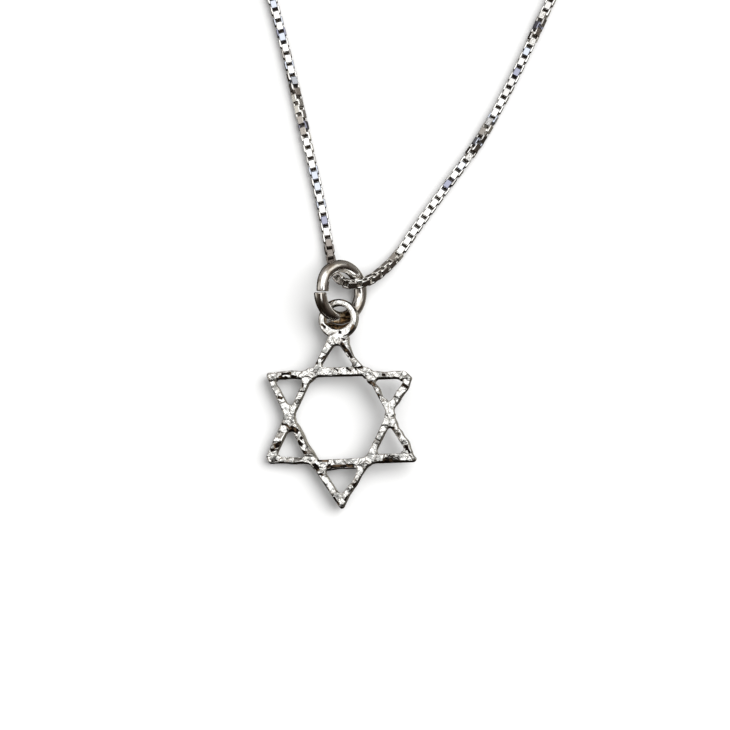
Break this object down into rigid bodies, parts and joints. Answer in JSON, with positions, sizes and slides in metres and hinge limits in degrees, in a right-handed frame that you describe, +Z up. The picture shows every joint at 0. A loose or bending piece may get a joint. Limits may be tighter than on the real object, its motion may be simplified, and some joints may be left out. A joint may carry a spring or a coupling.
{
  "type": "star of david pendant necklace",
  "caption": "Hammered silver star of david pendant on a fine box chain, laid out flat as a whole necklace to be worn round the neck.",
  "frame": {"origin": "middle of the laid-out necklace's footprint, on the surface that it lies on", "axes": "+Z up from that surface; +Y from the pendant to the clasp; +X to the right with the pendant nearest"},
  "size_m": [0.119, 0.1948, 0.0046],
  "materials": {
    "cast_silver": "cast and hammered silver, polished on its facets",
    "silver_wire": "drawn silver wire, polished, slightly toned",
    "silver_chain": "bright polished flat silver strip",
    "silver_fittings": "polished silver"
  },
  "bodies": {
    "root": {"star": "cast_silver", "jump_ring": "silver_wire", "chain": "silver_chain", "clasp": "silver_fittings", "end_ring_left": "silver_fittings", "end_ring_right": "silver_fittings"}
  },
  "joints": []
}
